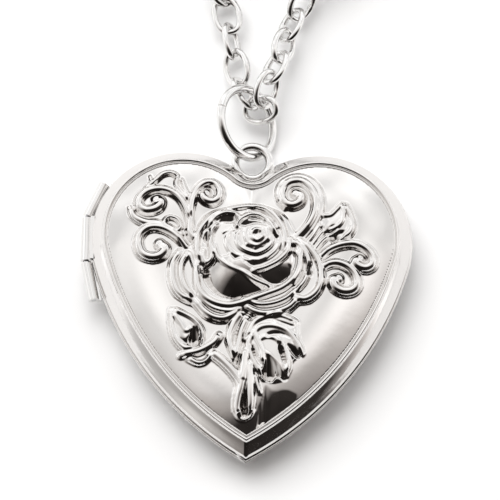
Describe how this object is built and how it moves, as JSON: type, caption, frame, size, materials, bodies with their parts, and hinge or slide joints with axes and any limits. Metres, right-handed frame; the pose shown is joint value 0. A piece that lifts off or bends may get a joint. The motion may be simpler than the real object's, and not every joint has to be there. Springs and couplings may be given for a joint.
{
  "type": "heart locket",
  "caption": "Heart-shaped photo locket that opens on a side hinge, with a stamped rose front, bail, jump ring and cable chain.",
  "frame": {"origin": "on the back cover's resting face, on the heart's own centre line, level with the lobes' lower half", "axes": "+Z out of the front cover, +Y towards the bail and chain, hinge on the -X side"},
  "size_m": [0.0351, 0.0809, 0.0059],
  "materials": {
    "silver_shell": "bright silver plate, polished, plain pressed sheet",
    "silver_relief": "bright silver plate, polished, stamped relief",
    "silver_inner": "bright silver plate, lightly brushed",
    "silver_fittings": "bright silver plate, polished, soldered",
    "silver_wire": "bright silver plated round wire",
    "silver_chain": "bright silver plated oval links",
    "steel_pin": "drawn steel wire",
    "film": "clear plastic film",
    "card": "blank matt photo card"
  },
  "bodies": {
    "case_back": {"back_cover": "silver_shell", "back_bezel": "silver_inner", "back_window": "film", "back_card": "card", "hinge_knuckle_upper": "silver_fittings", "hinge_knuckle_lower": "silver_fittings", "hinge_pin": "steel_pin", "bail": "silver_fittings", "chain_left_links": "silver_chain", "chain_right_links": "silver_chain", "chain_coil_lower": "silver_chain", "chain_coil_upper": "silver_chain", "clasp_body": "silver_fittings", "clasp_pivot": "steel_pin", "clasp_spring": "steel_pin", "clasp_ring": "silver_wire", "end_ring": "silver_wire"},
    "case_front": {"front_cover": "silver_relief", "front_bezel": "silver_inner", "front_window": "film", "front_card": "card", "hinge_knuckle_middle": "silver_fittings", "tip_catch": "silver_fittings"},
    "ring": {"jump_ring": "silver_wire"},
    "gate": {"clasp_lever": "silver_fittings"}
  },
  "joints": [
    {"name": "cover_hinge", "type": "hinge", "parent": "case_back", "child": "case_front", "pos_m": [-0.01427, 0.00545, 0.0024], "axis": [0, -1, 0], "range_deg": [0, 175]},
    {"name": "ring_turn", "type": "hinge", "parent": "case_back", "child": "ring", "pos_m": [-0.00058, 0.01663, 0.00238], "axis": [0.6691, -0.013, 0.7431], "continuous": true},
    {"name": "clasp_gate", "type": "hinge", "parent": "case_back", "child": "gate", "pos_m": [0.0005, 0.04675, 0.00145], "axis": [0, 0, -1], "range_deg": [0, 22], "stiffness_Nm_per_rad": 0.0004}
  ]
}
